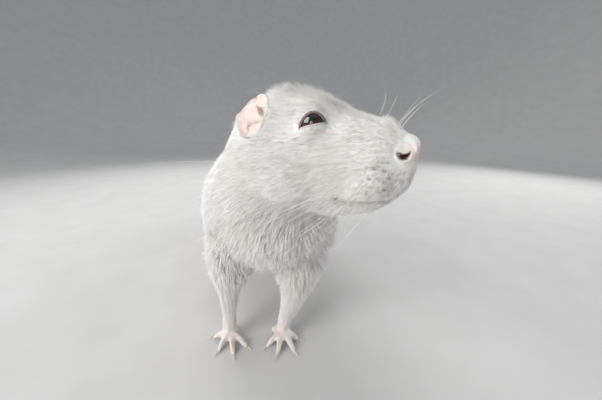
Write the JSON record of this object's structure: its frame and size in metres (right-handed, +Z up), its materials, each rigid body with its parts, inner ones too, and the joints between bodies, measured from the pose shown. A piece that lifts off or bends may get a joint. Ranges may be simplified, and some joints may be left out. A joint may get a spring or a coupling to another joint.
{
  "type": "white pet rat",
  "caption": "Life-size still model of a white pet rat on stretched forelegs, its head raised and turned to its left and its tail laid on the floor.",
  "frame": {"origin": "on the floor, under the middle of the whole model's box", "axes": "+Z up, the body and tail along Y with the head at -Y, the rat's left side towards +X"},
  "size_m": [0.0986, 0.3876, 0.1039],
  "materials": {
    "coat": "short smooth white fur",
    "bare_skin": "thin pale pink skin of nose, ears, feet and tail",
    "claw": "small pale horn claws",
    "eye": "wet, very dark ruby eyes"
  },
  "bodies": {
    "root": {"belly": "coat", "chest": "coat", "claw_fore_left_2": "claw", "claw_fore_left_3": "claw", "claw_fore_left_4": "claw", "claw_fore_left_5": "claw", "claw_fore_right_2": "claw", "claw_fore_right_3": "claw", "claw_fore_right_4": "claw", "claw_fore_right_5": "claw", "claw_hind_left_1": "claw", "claw_hind_left_2": "claw", "claw_hind_left_3": "claw", "claw_hind_left_4": "claw", "claw_hind_left_5": "claw", "claw_hind_right_1": "claw", "claw_hind_right_2": "claw", "claw_hind_right_3": "claw", "claw_hind_right_4": "claw", "claw_hind_right_5": "claw", "ear_left": "bare_skin", "ear_right": "bare_skin", "eye_left": "eye", "eye_right": "eye", "forefoot_left": "bare_skin", "forefoot_right": "bare_skin", "foreleg_left": "coat", "foreleg_right": "coat", "haunch_left": "coat", "haunch_right": "coat", "head": "coat", "hind_foot_left": "bare_skin", "hind_foot_right": "bare_skin", "lower_jaw": "coat", "neck": "coat", "nose": "bare_skin", "rump": "coat", "tail_1": "bare_skin", "tail_2": "bare_skin", "tail_3": "bare_skin", "tail_4": "bare_skin"}
  },
  "joints": []
}
